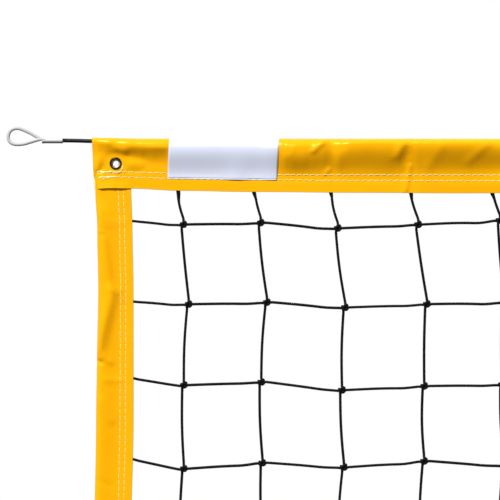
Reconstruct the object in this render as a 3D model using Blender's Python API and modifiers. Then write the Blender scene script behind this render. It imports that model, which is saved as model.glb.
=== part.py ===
"""Beach volleyball net: knotted cord mesh bound on all four sides with folded vinyl tape.

The net lies in the XZ plane and faces -Y. The origin is the seat in the left cable eye, on
the head cable's axis, +X runs along the cable to the right eye and +Z is up. Metres.
"""

import math

import bmesh
import bpy
from mathutils import Matrix, Vector

COLLECTION = "volleyball_net"
GAP = 0.0003  # clearance between pieces that touch on the real net

# Cord mesh
MESH_PITCH = 0.100  # centre to centre of two knots
MESH_COLUMNS = 85
MESH_ROWS = 10
MESH_CORD = 0.0033  # thickness of one cord
LATTICE_COLUMNS = 50  # gaps of the coarser lattice that stands for the knotted mesh
LATTICE_ROWS = 6

# Folded vinyl tapes: front and back walls joined by the fold, open at the lips
TAPE_WALL = 0.0008
HEAD_TAPE_HEIGHT = 0.065
HEAD_TAPE_BULGE = 0.0085  # half thickness of the hem where it puffs out round the cable
HEAD_TAPE_BULGE_DROP = 0.011  # from the fold to the thickest place
HEAD_TAPE_FLAT_FROM = 0.024  # from the fold to where the walls lie flat
FOOT_TAPE_HEIGHT = 0.046
FOOT_TAPE_BULGE = 0.0046
FOOT_TAPE_BULGE_RISE = 0.0045
FOOT_TAPE_FLAT_FROM = 0.010
SIDE_TAPE_WIDTH = 0.046
SIDE_FOLD_DEPTH = 0.003  # length of the rounded fold
SIDE_CORD_INSET = 0.010  # from the side tape's fold to the mesh's border cord
TAPE_OVERLAP = 0.021  # how far a side tape runs inside the head and foot tapes

# Head cable with its crimped eyes
CABLE_DIAMETER = 0.005  # over the black sheath
CORE_DIAMETER = 0.0018  # bare wire inside the crimp
CABLE_EXPOSED = 0.037  # from the sleeve to the head tape
CRIMP_DEPTH = 0.010  # how far a wire goes into the ferrule
CRIMP_CLEARANCE = 0.00025
FERRULE_LENGTH = 0.0245
FERRULE_WALL = 0.0005
FERRULE_FLATTENING = 0.82  # depth of the pressed ferrule as a share of its height
SLEEVE_LENGTH = 0.026
SLEEVE_WALL = 0.00045
EYE_WIRE = 0.004  # over the clear coat
EYE_HEIGHT = 0.021  # outside
EYE_LENGTH = 0.041  # outside, from the round end to where the legs meet
EYE_NECK = 0.0025  # from where the legs meet to the sleeve

# Foot cord
FOOT_CORD_DIAMETER = 0.005
STOP_KNOT_DIAMETER = 0.011
STOP_KNOT_LENGTH = 0.016
STOP_KNOT_TAIL = 0.005
FOOT_CORD_SLACK = 0.012  # from the foot tape's end to the stop knot

# Corner grommets
EYELET_HOLE = 0.0075
EYELET_BARREL_WALL = 0.00075
EYELET_FLANGE = 0.0154
EYELET_FLANGE_THICKNESS = 0.001
EYELET_ROLL = 0.0012  # how far the rolled rim reaches over the washer
EYELET_ROLL_THICKNESS = 0.0006
WASHER_THICKNESS = 0.0008
EYELET_INSET = 0.0296  # from the tape's end to the grommet's centre
HEAD_EYELET_DROP = 0.0326  # from the head tape's fold to the grommet's centre
FOOT_EYELET_RISE = 0.018  # from the foot tape's fold to the grommet's centre

# Bare label patch, folded over the head tape's top edge
LABEL_START = 0.0945  # from the head tape's left end
LABEL_WIDTH = 0.137
LABEL_DROP = 0.051
LABEL_WALL = 0.0005

FOLD_STEPS = 5  # facets in each rounded stretch of a tape's section
ROUND_SIDES = 20
WIRE_RINGS = 2  # bevel resolution of a cable or a cord
EYE_STEPS = 8  # points along each leg and each half of the round end
KNOT_STEPS = 6
LABEL_BACK_STEPS = 2  # facets of the fold that the label covers on the back

YELLOW = (0.93, 0.49, 0.012)
BLACK = (0.015, 0.015, 0.018)
WHITE = (0.86, 0.87, 0.9)

# Places that follow from the sizes
SIDE_HALF = MESH_CORD / 2 + GAP + TAPE_WALL  # half thickness of a side tape
BAND_HALF = SIDE_HALF + GAP + TAPE_WALL  # half thickness of the head and foot tapes' lips
CORD_CENTRE = TAPE_WALL + GAP + CABLE_DIAMETER / 2  # from the head fold to the cable's axis
FOOT_CORD_CENTRE = TAPE_WALL + GAP + FOOT_CORD_DIAMETER / 2
HEAD_TOP = CORD_CENTRE
MESH_TOP = -(CABLE_DIAMETER / 2 + GAP + MESH_CORD / 2)
MESH_BOTTOM = MESH_TOP - MESH_ROWS * MESH_PITCH
FOOT_CORD_Z = MESH_BOTTOM - (MESH_CORD / 2 + GAP + FOOT_CORD_DIAMETER / 2)
FOOT_BOTTOM = FOOT_CORD_Z - FOOT_CORD_CENTRE
HEAD_LIP = HEAD_TOP - HEAD_TAPE_HEIGHT
FOOT_LIP = FOOT_BOTTOM + FOOT_TAPE_HEIGHT
SLEEVE_START = EYE_LENGTH - EYE_WIRE + EYE_NECK
TAPE_LEFT = SLEEVE_START + SLEEVE_LENGTH + CABLE_EXPOSED
TAPE_LENGTH = MESH_COLUMNS * MESH_PITCH + 2 * SIDE_CORD_INSET
TAPE_RIGHT = TAPE_LEFT + TAPE_LENGTH
MIDDLE = TAPE_LEFT + TAPE_LENGTH / 2
BORE_RADIUS = CORE_DIAMETER / 2 + CRIMP_CLEARANCE
LEG_OFFSET = BORE_RADIUS + GAP / 2  # of each eye leg from the cable's axis, inside the crimp
FERRULE_RADIUS = LEG_OFFSET + BORE_RADIUS + FERRULE_WALL
BARREL_RADIUS = EYELET_HOLE / 2 + EYELET_BARREL_WALL


def clear_scene():
    for item in list(bpy.data.objects):
        bpy.data.objects.remove(item, do_unlink=True)


def new_collection(name):
    found = bpy.data.collections.new(name)
    bpy.context.scene.collection.children.link(found)
    return found


def material(name, colour, roughness, metallic=0.0):
    made = bpy.data.materials.new(name)
    made.use_nodes = True
    shader = made.node_tree.nodes["Principled BSDF"]
    shader.inputs["Base Color"].default_value = (*colour, 1.0)
    shader.inputs["Roughness"].default_value = roughness
    shader.inputs["Metallic"].default_value = metallic
    return made


def add_object(name, data, finish, location=(0, 0, 0), rotation=(0, 0, 0)):
    piece = bpy.data.objects.new(name, data)
    piece.location = location
    piece.rotation_euler = rotation
    if finish is not None:
        data.materials.append(finish)
    parts.objects.link(piece)
    return piece


def mesh_from(name, bm):
    data = bpy.data.meshes.new(name)
    bm.to_mesh(data)
    bm.free()
    return data


def smooth(piece, angle=math.radians(35)):
    piece.data.shade_smooth()
    piece.data.set_sharp_from_angle(angle=angle)


def spread(start, end, steps):
    return [start + (end - start) * i / steps for i in range(steps + 1)]


def hem_half(height, bulge, bulge_at, flat_from, lip):
    """Half of a folded tape's outer section as (half thickness, distance from the fold)."""
    quarter = spread(0, math.pi / 2, FOLD_STEPS)
    points = [(bulge * math.sin(a), bulge_at * (1 - math.cos(a))) for a in quarter]
    if bulge > lip:
        for share in spread(0, 1, FOLD_STEPS)[1:]:
            thick = lip + (bulge - lip) * (1 + math.cos(math.pi * share)) / 2
            points.append((thick, bulge_at + (flat_from - bulge_at) * share))
    return points + [(lip, height)]


def extruded_strip(name, section, length):
    """An open surface: the (y, z) points of section drawn out along X."""
    bm = bmesh.new()
    row = [bm.verts.new((0, y, z)) for y, z in section]
    edges = [bm.edges.new(pair) for pair in zip(row, row[1:])]
    drawn = bmesh.ops.extrude_edge_only(bm, edges=edges)["geom"]
    moved = [v for v in drawn if isinstance(v, bmesh.types.BMVert)]
    bmesh.ops.translate(bm, verts=moved, vec=(length, 0, 0))
    return mesh_from(name, bm)


def solidify(piece, thickness, inward=True):
    wall = piece.modifiers.new("wall", "SOLIDIFY")
    wall.thickness = thickness
    wall.offset = -1 if inward else 1
    wall.use_even_offset = True
    return wall


def cut(piece, cutter):
    hole = piece.modifiers.new("hole", "BOOLEAN")
    hole.operation = "DIFFERENCE"
    hole.solver = "EXACT"
    hole.object = cutter


def cutter_rod(name, radius, start, end):
    """A round cutter from start to end."""
    start, end = Vector(start), Vector(end)
    bpy.ops.mesh.primitive_cylinder_add(
        vertices=ROUND_SIDES, radius=radius, depth=(end - start).length
    )
    rod = bpy.context.object
    rod.name = name
    rod.location = (start + end) / 2
    rod.rotation_euler = (end - start).to_track_quat("Z", "Y").to_euler()
    rod.hide_render = True
    rod.display_type = "WIRE"
    for owner in list(rod.users_collection):
        owner.objects.unlink(rod)
    cutters.objects.link(rod)
    return rod


def wire(name, points, radius, finish, radii=None):
    """A round wire through points; radii gives each point's share of radius."""
    curve = bpy.data.curves.new(name, "CURVE")
    curve.dimensions = "3D"
    curve.bevel_depth = radius
    curve.bevel_resolution = WIRE_RINGS
    curve.use_fill_caps = True
    spline = curve.splines.new("POLY")
    spline.points.add(len(points) - 1)
    for i, point in enumerate(points):
        spline.points[i].co = (*point, 1)
        spline.points[i].radius = radii[i] if radii else 1
    return add_object(name, curve, finish)


def turned(name, profile, centre, finish):
    """A ring turned about an axis along Y; profile is (radius, height towards -Y), closed."""
    bm = bmesh.new()
    row = [bm.verts.new((r, 0, h)) for r, h in profile]
    for pair in zip(row, row[1:] + row[:1]):
        bm.edges.new(pair)
    piece = add_object(name, mesh_from(name, bm), finish, centre, (math.pi / 2, 0, 0))
    screw = piece.modifiers.new("turn", "SCREW")
    screw.steps = screw.render_steps = ROUND_SIDES
    screw.use_merge_vertices = True
    screw.merge_threshold = 0.00001
    return piece


def make_tape(name, half, length, location, turn, finish):
    """A folded tape whose fold lies along X at the top before it is turned about one axis."""
    section = [(-y, -s) for y, s in reversed(half)] + [(y, -s) for y, s in half[1:]]
    tape = add_object(name, extruded_strip(name, section, length), finish, location, turn)
    solidify(tape, TAPE_WALL)
    smooth(tape)
    return tape


def make_tapes(vinyl):
    head_half = hem_half(
        HEAD_TAPE_HEIGHT, HEAD_TAPE_BULGE, HEAD_TAPE_BULGE_DROP, HEAD_TAPE_FLAT_FROM, BAND_HALF
    )
    foot_half = hem_half(
        FOOT_TAPE_HEIGHT, FOOT_TAPE_BULGE, FOOT_TAPE_BULGE_RISE, FOOT_TAPE_FLAT_FROM, BAND_HALF
    )
    side_half = hem_half(SIDE_TAPE_WIDTH, SIDE_HALF, SIDE_FOLD_DEPTH, SIDE_FOLD_DEPTH, SIDE_HALF)
    side_top = HEAD_LIP + TAPE_OVERLAP
    side_bottom = FOOT_LIP - TAPE_OVERLAP
    side_length = side_top - side_bottom
    quarter = math.pi / 2
    head = make_tape("head_tape", head_half, TAPE_LENGTH, (TAPE_LEFT, 0, HEAD_TOP), (0, 0, 0), vinyl)
    foot = make_tape(
        "foot_tape", foot_half, TAPE_LENGTH, (TAPE_LEFT, 0, FOOT_BOTTOM), (math.pi, 0, 0), vinyl
    )
    make_tape(
        "left_side_tape", side_half, side_length, (TAPE_LEFT, 0, side_bottom), (0, -quarter, 0), vinyl
    )
    make_tape(
        "right_side_tape", side_half, side_length, (TAPE_RIGHT, 0, side_top), (0, quarter, 0), vinyl
    )
    return head, foot, head_half


def make_grommet(corner, tape, x, z, metal):
    """An eyelet through both walls of a tape, with the washer that its rear rim holds."""
    seat = BAND_HALF + GAP
    front = seat + EYELET_FLANGE_THICKNESS
    rear = seat + WASHER_THICKNESS + GAP
    end = rear + EYELET_ROLL_THICKNESS
    hole = EYELET_HOLE / 2
    flange = EYELET_FLANGE / 2
    round_off = EYELET_FLANGE_THICKNESS / 2
    roll_off = EYELET_ROLL_THICKNESS / 2
    roll = BARREL_RADIUS + EYELET_ROLL
    eyelet = [
        (hole + round_off, front),
        (flange - round_off, front),
        (flange, front - round_off),
        (flange, seat),
        (BARREL_RADIUS, seat),
        (BARREL_RADIUS, -rear),
        (roll, -rear),
        (roll - roll_off, -end),
        (hole + roll_off, -end),
        (hole, -end + roll_off),
        (hole, front - round_off),
    ]
    washer = [
        (flange, -seat),
        (flange - round_off, -seat - WASHER_THICKNESS),
        (BARREL_RADIUS + GAP, -seat - WASHER_THICKNESS),
        (BARREL_RADIUS + GAP, -seat),
    ]
    centre = (x, 0, z)
    for name, profile in ((corner + "_eyelet", eyelet), (corner + "_washer", washer)):
        smooth(turned(name, profile, centre, metal))
    reach = end + MESH_CORD
    cut(tape, cutter_rod(corner + "_hole", BARREL_RADIUS + GAP, (x, -reach, z), (x, reach, z)))


def make_grommets(head, foot, metal):
    left, right = TAPE_LEFT + EYELET_INSET, TAPE_RIGHT - EYELET_INSET
    top, bottom = HEAD_TOP - HEAD_EYELET_DROP, FOOT_BOTTOM + FOOT_EYELET_RISE
    for side, x in (("left", left), ("right", right)):
        make_grommet("top_" + side, head, x, top, metal)
        make_grommet("bottom_" + side, foot, x, bottom, metal)
    for tape in (head, foot):
        tape.modifiers.new("flat_walls", "WEIGHTED_NORMAL")


def make_mesh(cord):
    """The flat lattice of square cords, whose border cords lie inside the four tapes."""
    width, height = MESH_COLUMNS * MESH_PITCH, MESH_ROWS * MESH_PITCH
    bm = bmesh.new()
    bmesh.ops.create_grid(bm, x_segments=LATTICE_COLUMNS, y_segments=LATTICE_ROWS, size=0.5)
    bmesh.ops.scale(bm, vec=(width, height, 1), verts=bm.verts)
    gaps = bmesh.ops.inset_individual(bm, faces=bm.faces[:], thickness=MESH_CORD / 2)
    rims = set(gaps["faces"])
    bmesh.ops.delete(bm, geom=[f for f in bm.faces if f not in rims], context="FACES")
    for vert in bm.verts:
        for axis, half in ((0, width / 2), (1, height / 2)):
            if abs(vert.co[axis]) > half - MESH_CORD / 4:
                vert.co[axis] += math.copysign(MESH_CORD / 2, vert.co[axis])
    centre = (MIDDLE, 0, (MESH_TOP + MESH_BOTTOM) / 2)
    net = add_object("net_mesh", mesh_from("net_mesh", bm), cord, centre, (math.pi / 2, 0, 0))
    solidify(net, MESH_CORD).offset = 0


def outward(section, distance):
    """A (y, z) section moved outwards, to the right of its direction, by distance."""
    moved = []
    for i, here in enumerate(section):
        before, after = section[max(i - 1, 0)], section[min(i + 1, len(section) - 1)]
        along = Vector(after) - Vector(before)
        along.normalize()
        moved.append((here[0] - along.y * distance, here[1] + along.x * distance))
    return moved


def make_label(head_half, sheet):
    """A thin patch on the head tape's front, from just behind its fold down to LABEL_DROP."""
    down = [p for p in head_half if p[1] < LABEL_DROP] + [(BAND_HALF, LABEL_DROP)]
    section = [(-y, -s) for y, s in reversed(down)] + [
        (y, -s) for y, s in head_half[1 : LABEL_BACK_STEPS + 1]
    ]
    lifted = outward(section, GAP)
    strip = extruded_strip("label_patch", lifted, LABEL_WIDTH)
    patch = add_object("label_patch", strip, sheet, (TAPE_LEFT + LABEL_START, 0, HEAD_TOP))
    solidify(patch, LABEL_WALL, inward=False)
    smooth(patch)


def eye_points():
    """Centreline of the left eye: in from one crimped leg, round the end and back out."""
    loop = EYE_HEIGHT / 2 - EYE_WIRE / 2
    centre_x = loop - EYE_WIRE / 2
    neck_x = EYE_LENGTH - EYE_WIRE
    neck_z = EYE_WIRE / 2 + GAP / 2
    leg = []
    for share in spread(0, 1, EYE_STEPS):
        x = neck_x + (centre_x - neck_x) * share
        leg.append((x, neck_z + (loop - neck_z) * (1 - math.cos(math.pi * share)) / 2))
    turn = [
        (centre_x - loop * math.sin(a), loop * math.cos(a))
        for a in spread(0, math.pi / 2, EYE_STEPS)[1:]
    ]
    mouth = SLEEVE_START + (SLEEVE_LENGTH - FERRULE_LENGTH) / 2
    bare = [(mouth + CRIMP_DEPTH, LEG_OFFSET), (mouth - GAP, LEG_OFFSET)]
    upper = bare + leg + turn
    lower = [(x, -z) for x, z in reversed(upper[:-1])]
    thin = CORE_DIAMETER / EYE_WIRE
    radii = [thin, thin] + [1] * (2 * (len(leg) + len(turn)) - 1) + [thin, thin]
    return [(x, 0, z) for x, z in upper + lower], radii


def mirrored(point):
    """The same place at the right end of the net."""
    return (2 * MIDDLE - point[0], point[1], point[2])


def oval_tube(bm, radius, length, cap_ends):
    """An oval barrel along X, flattened in Y."""
    bmesh.ops.create_cone(
        bm, cap_ends=cap_ends, segments=ROUND_SIDES, radius1=radius, radius2=radius, depth=length
    )
    bmesh.ops.rotate(bm, verts=bm.verts, matrix=Matrix.Rotation(math.pi / 2, 3, "Y"))
    bmesh.ops.scale(bm, vec=(1, FERRULE_FLATTENING, 1), verts=bm.verts)


def make_cable_end(side, place, metal, clear, coat):
    """The crimped eye at one end; place puts a left-end point at this end."""
    points, radii = eye_points()
    wire(side + "_eye", [place(p) for p in points], EYE_WIRE / 2, coat, radii)

    middle = SLEEVE_START + SLEEVE_LENGTH / 2
    mouth, back = middle - FERRULE_LENGTH / 2, middle + FERRULE_LENGTH / 2
    centre = place((middle, 0, 0))
    bm = bmesh.new()
    oval_tube(bm, FERRULE_RADIUS, FERRULE_LENGTH, True)
    ferrule = add_object(side + "_ferrule", mesh_from("ferrule", bm), metal, centre)
    deep = CRIMP_DEPTH + CRIMP_CLEARANCE
    bores = {
        "upper_leg": ((mouth - GAP, 0, LEG_OFFSET), (mouth + deep, 0, LEG_OFFSET)),
        "lower_leg": ((mouth - GAP, 0, -LEG_OFFSET), (mouth + deep, 0, -LEG_OFFSET)),
        "cable": ((back + GAP, 0, 0), (back - deep, 0, 0)),
    }
    for bore, (start, end) in bores.items():
        rod = cutter_rod(side + "_" + bore + "_bore", BORE_RADIUS, place(start), place(end))
        cut(ferrule, rod)

    bm = bmesh.new()
    oval_tube(bm, FERRULE_RADIUS + GAP, SLEEVE_LENGTH, False)
    sleeve = add_object(side + "_sleeve", mesh_from("sleeve", bm), clear, centre)
    solidify(sleeve, SLEEVE_WALL, inward=False)
    smooth(sleeve)


def make_cable(sheath):
    """The head cable: sheathed between the sleeves, bare where it enters each crimp."""
    middle = SLEEVE_START + SLEEVE_LENGTH / 2
    back = middle + FERRULE_LENGTH / 2
    butt = SLEEVE_START + SLEEVE_LENGTH + GAP
    left = [(back - CRIMP_DEPTH, 0, 0), (butt, 0, 0), (butt + GAP, 0, 0)]
    thin = CORE_DIAMETER / CABLE_DIAMETER
    points = left + [mirrored(p) for p in reversed(left)]
    wire("head_cable", points, CABLE_DIAMETER / 2, sheath, [thin, thin, 1, 1, thin, thin])


def make_foot_cord(cord):
    """The foot cord, with a stop knot past each end of the foot tape."""
    swell = STOP_KNOT_DIAMETER / FOOT_CORD_DIAMETER
    start = TAPE_LEFT - FOOT_CORD_SLACK
    points = [(start - STOP_KNOT_TAIL - STOP_KNOT_LENGTH, 0, FOOT_CORD_Z)]
    radii = [1]
    for share in spread(1, 0, KNOT_STEPS):
        points.append((start - STOP_KNOT_LENGTH * share, 0, FOOT_CORD_Z))
        radii.append(1 + (swell - 1) * math.sin(math.pi * share))
    wire(
        "foot_cord",
        points + [mirrored(p) for p in reversed(points)],
        FOOT_CORD_DIAMETER / 2,
        cord,
        radii + radii[::-1],
    )


clear_scene()
parts = new_collection(COLLECTION)
cutters = new_collection("cutters")

vinyl = material("yellow_vinyl", YELLOW, 0.42)
black_cord = material("black_cord", BLACK, 0.75)
black_sheath = material("black_sheath", BLACK, 0.4)
clear_coat = material("clear_coat", (0.82, 0.82, 0.8), 0.25)
aluminium = material("aluminium", (0.6, 0.6, 0.6), 0.35, 1.0)
nickel = material("nickel", (0.55, 0.5, 0.43), 0.3, 1.0)
white_sheet = material("white_label", WHITE, 0.45)

head_tape, foot_tape, head_section = make_tapes(vinyl)
make_grommets(head_tape, foot_tape, nickel)
make_mesh(black_cord)
make_label(head_section, white_sheet)
make_cable(black_sheath)
make_cable_end("left", lambda point: point, aluminium, clear_coat, clear_coat)
make_cable_end("right", mirrored, aluminium, clear_coat, clear_coat)
make_foot_cord(black_cord)
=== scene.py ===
"""Looks of the beach volleyball net: wrinkled vinyl tapes with their stitching, knotted cord mesh,
crimped cable eyes, grommets and the bare label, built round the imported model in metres."""

import math

import bpy
import numpy as np
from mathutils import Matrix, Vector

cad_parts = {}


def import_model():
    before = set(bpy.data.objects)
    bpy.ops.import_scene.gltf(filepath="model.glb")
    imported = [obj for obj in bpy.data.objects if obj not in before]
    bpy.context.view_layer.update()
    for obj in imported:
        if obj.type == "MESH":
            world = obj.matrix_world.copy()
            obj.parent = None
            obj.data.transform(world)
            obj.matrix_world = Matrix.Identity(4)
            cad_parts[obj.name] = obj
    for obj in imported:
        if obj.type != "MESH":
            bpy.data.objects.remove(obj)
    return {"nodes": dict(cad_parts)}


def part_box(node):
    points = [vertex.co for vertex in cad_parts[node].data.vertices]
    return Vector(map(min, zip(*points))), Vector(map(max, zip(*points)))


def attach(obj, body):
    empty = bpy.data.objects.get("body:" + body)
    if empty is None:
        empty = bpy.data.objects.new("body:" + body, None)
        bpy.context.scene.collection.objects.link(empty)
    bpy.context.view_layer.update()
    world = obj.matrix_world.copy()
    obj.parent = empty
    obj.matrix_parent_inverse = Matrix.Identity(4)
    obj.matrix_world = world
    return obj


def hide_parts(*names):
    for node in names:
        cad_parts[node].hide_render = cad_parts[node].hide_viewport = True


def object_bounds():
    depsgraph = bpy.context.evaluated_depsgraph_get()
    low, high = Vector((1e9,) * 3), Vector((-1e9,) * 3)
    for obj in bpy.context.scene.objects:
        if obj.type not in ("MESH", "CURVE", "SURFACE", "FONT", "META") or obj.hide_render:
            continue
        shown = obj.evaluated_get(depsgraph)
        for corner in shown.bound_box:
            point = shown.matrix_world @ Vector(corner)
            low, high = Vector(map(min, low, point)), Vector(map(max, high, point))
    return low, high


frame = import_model()
cad_bounds = [[float(v) for v in corner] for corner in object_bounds()]

MM = 0.001
GAP = 0.3 * MM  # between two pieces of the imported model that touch
FRONT, BACK = -1, 1  # sides of the net along Y

# Camera: the photograph is a straight front view of the net's upper left corner
PIXEL = 1.2531 * MM  # one pixel of the photograph, at the net
FRAME_PIXELS = 500
LENS, SENSOR = 100, 36
VIEW_CENTRE = (0.3000, -0.1372)  # x and z in the middle of the frame

# Tapes
TAPE_WALL = 0.8 * MM
NEAR_LENGTH = 0.54  # the stretch of the head tape that the camera sees
STITCH_PITCH = 8.1 * MM
STITCH_LENGTH = 7.3 * MM
THREAD_RADIUS, SIDE_THREAD_RADIUS = 0.34 * MM, 0.28 * MM
HEAD_ROWS = (43.2 * MM, 50.3 * MM)  # stitch rows, from the fold
HEAD_ROW_DRIFTS = (2.7 * MM, 1.1 * MM)  # how much lower each row runs past the label
FOOT_ROWS = (30.0 * MM, 36.8 * MM)
SIDE_ROWS = (29.8 * MM, 36.5 * MM)
GROOVE_DEPTH, GROOVE_WIDTH = 0.2 * MM, 1.6 * MM  # how the thread pulls the vinyl in
LIP_HALF = 2.9 * MM  # half thickness of the sewn lips away from the side tapes
PINCH_SEAT, PINCH_REACH = 8.0 * MM, 11.0 * MM  # flat under a grommet's flange, then free again
HOLE_IN_TAPE = 5.6 * MM
LIP_EDGE = 0.3 * MM  # the last narrow row of faces beside a cut edge
ROW_FACES = 2.2 * MM  # the faces on each side of a stitch row
BACK_SHARE = 0.62  # how much of the front's bulge the back has
FOLD_PLAIN = 2.5 * MM  # wrinkles grow to their height over this drop from the fold
PINCH_TOP = 14 * MM  # a grommet pinches the tape below this drop only
LIP_EASE = 20 * MM  # the lips close over this length past the side tapes
CABLE_CLEAR = 1.1 * MM  # between the head cable and the back of its hem
FINE_END = 60 * MM  # the length at a long tape's end that has narrow faces
ROW_MARGIN = 4 * MM  # from a long tape's ends to its stitch rows
SIDE_ROW_START, SIDE_ROW_SPARE = 12 * MM, 14 * MM  # the same at the side tapes' two ends
BACKTACK_REACH = (6 * MM, 30 * MM)  # where the head tape's seams are sewn over again
# Loose threads on the head tape's front, through (along, drop, lift) points (mm)
LOOSE_THREADS = [
    [(37.2, 35, 0.1), (38.0, 39, 0.5), (35.5, 43, 0.7), (30.5, 45.6, 0.6)],
    [(38.2, 36, 0.2), (37.0, 41.5, 0.6), (33, 44.4, 0.8), (26, 44.6, 0.2)],
    [(12, 50.5, 0.2), (13.6, 52.6, 0.4), (12.2, 54.6, 0.3)],
]

# The head hem in sight: place along the tape, half thickness, its drop, where it falls in most
# steeply, where the walls meet (mm)
HEM_PLAN = [
    (0, 4.6, 5.5, 12.0, 21), (9, 7.8, 6.5, 14.5, 30), (22, 9.4, 7.5, 15.0, 29),
    (32, 9.2, 9.2, 18.5, 27), (42, 10.6, 9.5, 19.0, 25), (48, 10.8, 9.6, 17.8, 26),
    (56, 10.7, 10.4, 18.2, 29), (63, 11.0, 10.6, 19.3, 31), (78, 11.4, 11.5, 20.5, 36),
    (92, 11.0, 12.0, 20.6, 38), (101, 9.5, 12.0, 28.0, 46), (226, 9.6, 12.0, 29.0, 47),
    (235, 12.0, 12.4, 32.0, 50), (243, 14.8, 12.6, 33.2, 50), (250, 15.2, 13.5, 34.5, 50),
    (262, 15.3, 12.3, 34.0, 50), (274, 14.8, 12.0, 33.0, 50), (287, 15.4, 9.2, 31.5, 51),
    (300, 12.8, 10.5, 31.0, 48), (310, 14.6, 10.0, 33.5, 51), (322, 16.2, 8.6, 31.0, 53),
    (342, 16.8, 7.8, 30.5, 54), (366, 16.8, 8.0, 31.5, 54), (381, 16.4, 10.0, 30.5, 52),
    (395, 14.0, 8.0, 26.0, 52), (408, 15.8, 7.8, 30.5, 58), (424, 17.5, 7.8, 30.0, 57),
    (440, 18.2, 8.0, 29.5, 55), (470, 18.2, 8.0, 29.5, 55), (510, 15.0, 10.0, 29.0, 50),
]
# The hem out of sight, between these limits: the last four columns above (mm)
FAR_HEM = [(11, 15), (9, 12), (27, 32), (46, 52)]
# Wrinkles in sight on the head tape's front: ridge from (along, drop) to (along, drop), then its
# width and height, which is negative for a valley (mm)
HEAD_WRINKLES = [
    (10, 26, 1, 38, 4.5, 1.1), (14, 37, 3, 51, 3.4, -1.9), (44, 32.5, 62, 33.5, 4.5, 1.1),
    (45, 42.5, 58, 43.5, 3.0, -0.8), (28, 51, 28, 62, 3.0, 0.9), (53, 50, 55, 62, 5.0, -0.5),
    (4, 66, 37, 66, 6.0, 1.5), (254, 10, 245, 25, 4.5, 0.5), (288, 5, 276, 17, 3.6, 1.8),
    (309, 4, 310, 5, 2.0, 0.4), (297, 41, 311, 18, 6.0, 0.3), (291, 45.5, 296.5, 40, 2.2, 0.9),
    (296, 41, 296, 53, 2.2, 0.6), (389, 7, 379, 24, 5.0, 1.1), (397, 28, 391, 38, 4.0, 0.6),
    (397.5, 36, 392, 62, 2.8, 1.8), (434, 12, 421, 36, 7.0, 0.9), (416, 54, 560, 54, 9.0, 1.0),
    (470, 30, 492, 8, 6.0, 0.9), (345, 56, 372, 58, 5.0, 0.4),
]
# Wrinkles in sight on the left side tape's front: the same, from (down, across) to (down, across),
# where down starts at the head tape's fold
SIDE_WRINKLES = [
    (104, 8, 105, 38, 2.4, 0.5), (110, 6, 109, 30, 3.5, 0.4), (128, 9, 188, 16.5, 5.5, 1.3),
    (191, 31, 195, 28, 2.0, 0.5), (194, 19.5, 264, 1, 8.5, 3.3), (202, 31, 204, 34, 2.5, 0.6),
    (274, 9, 280, 17, 5.0, 1.2), (278, -3, 281.5, 6, 2.0, -2.4), (303, 12, 304, 30, 4.0, 0.7),
    (116, 2, 118, 7, 2.6, 1.1), (330, 8, 352, 20, 7.0, 1.0),
]
# Wrinkles out of sight: the tape's height, the highest ridge (mm), the chance of one more at the lip
HEAD_FOLDS, HEAD_BACK_FOLDS = (65, 1.4, 0.3), (65, 1.2, 0.3)
FOOT_FOLDS, SIDE_FOLDS = (46, 0.8, 0.3), (46, 0.9, 0.0)
# How far the left side tape bulges beside its fold, down from the head fold (mm)
SIDE_BULGE = [
    (0, 0.0), (72, 0.2), (100, 3.0), (200, 3.8), (280, 3.0), (350, 3.6),
    (500, 2.2), (700, 3.0), (880, 1.4), (925, 0.0), (1010, 0.0),
]
# Where that bulge is highest, where it falls in most steeply and where it ends, from the fold (mm)
SIDE_CROWN, SIDE_STEEP, SIDE_FLAT = 6.5, 17.0, 30.0
# How far the left side tape's fold and lip stand to the right, down from the head fold (mm)
SIDE_DRIFT = [
    (0, 3.2, 2.2), (66, 3.6, 2.6), (112, 5.9, 4.0), (190, 7.2, 5.3), (280, 5.6, 5.4),
    (350, 4.5, 5.4), (520, 2.0, 2.0), (700, 4.0, 3.0), (1010, 2.0, 1.5),
]
# How far the head tape's lip hangs below its CAD place, along the tape (mm)
LIP_SAG = [
    (0, -0.8), (24, -1.5), (48, -1.2), (110, 1.5), (200, 3.0), (340, 4.0), (460, 4.7), (560, 4.2),
]
SAG_TOP, SAG_GROW = 38 * MM, 24 * MM  # the drop from which the tape sags, and over which that grows
HEM_DROOP = 1.2 * MM  # how far the cable and the fold over it settle inside the net
DROOP_EASE, DROOP_DROP = 75 * MM, 34 * MM  # from each end, and down to where the tape stays in place
CABLE_SETTLE = 80 * MM  # how far inside the tape the cable's level stretch starts
# Left end of the head tape: how far its edge leans in, how far the front's lower corner is folded in
# past that, and how far the end closes in on the side tape's fold
END_LEAN, CORNER_NIP, CORNER_REACH, END_CLOSE = 2.0 * MM, 4.0 * MM, 22 * MM, 1.9 * MM
END_LEAN_DROP, END_CLOSE_REACH = 70 * MM, 7 * MM
CORNER_TOP, CORNER_GROW = 48, 15  # the drop from which the corner folds in, and its growth (mm)

# Label patch
LABEL_ASIDE = 2.3 * MM  # how far right of its CAD place it lies
LABEL_SKEW = -2.6 * MM  # its lower edge stands this far to the left of its upper edge
LABEL_LIFT = 0.15 * MM
LABEL_WALL = 0.22 * MM
LABEL_HALF, LABEL_DROP = 10.2 * MM, 13.5 * MM  # its crown, from which it falls in evenly
LABEL_RISE = 2.2 * MM  # how much further out it stands at its right edge, most of all at the top
LABEL_GAPE, LABEL_GAPE_PLACE, LABEL_GAPE_WIDTH = 1.1 * MM, 0.63, 0.10  # where its lower edge gapes
LABEL_CURL, LABEL_CURL_WIDTH = 0.18 * MM, 3.0 * MM

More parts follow.
